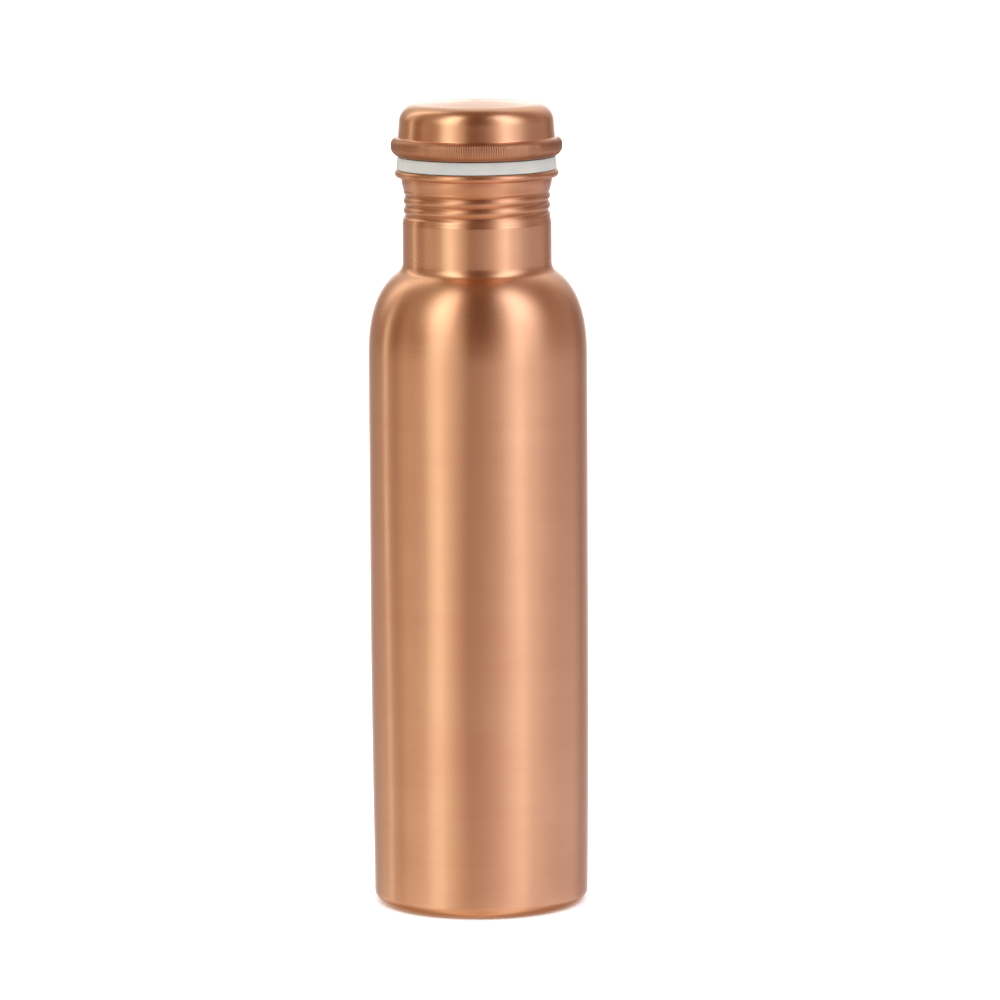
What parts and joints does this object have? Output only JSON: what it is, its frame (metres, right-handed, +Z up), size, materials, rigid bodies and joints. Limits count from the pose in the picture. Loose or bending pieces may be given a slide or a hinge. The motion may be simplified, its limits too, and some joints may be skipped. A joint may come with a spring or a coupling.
{
  "type": "metal water bottle",
  "caption": "Slim copper water bottle with a domed screw cap, knurled grip bead, white seal ring and rolled neck thread.",
  "frame": {"origin": "on the bottle's axis, in the plane it stands on", "axes": "+Z up along the bottle's axis, from the base to the cap; +X and +Y lie in the standing plane"},
  "size_m": [0.072, 0.072, 0.2659],
  "materials": {
    "satin_copper": "brushed satin copper",
    "cap_copper": "brushed satin copper with a knurled bead",
    "white_silicone": "matte translucent white silicone"
  },
  "bodies": {
    "bottle": {"bottle_body": "satin_copper"},
    "seal": {"seal_ring": "white_silicone"},
    "cap": {"cap_shell": "cap_copper", "threaded_plug": "satin_copper"}
  },
  "joints": [
    {"name": "cap_rise", "type": "slide", "parent": "bottle", "child": "seal", "axis": [0, 0, 1], "range_m": [0, 0.0224]},
    {"name": "cap_turn", "type": "hinge", "parent": "seal", "child": "cap", "pos_m": [0, 0, 0.2436], "axis": [0, 0, 1], "range_deg": [0, 2520]}
  ],
  "couplings": [
    {"joint": "cap_rise", "follows": "cap_turn", "m_per_rad": 0.0005093}
  ]
}
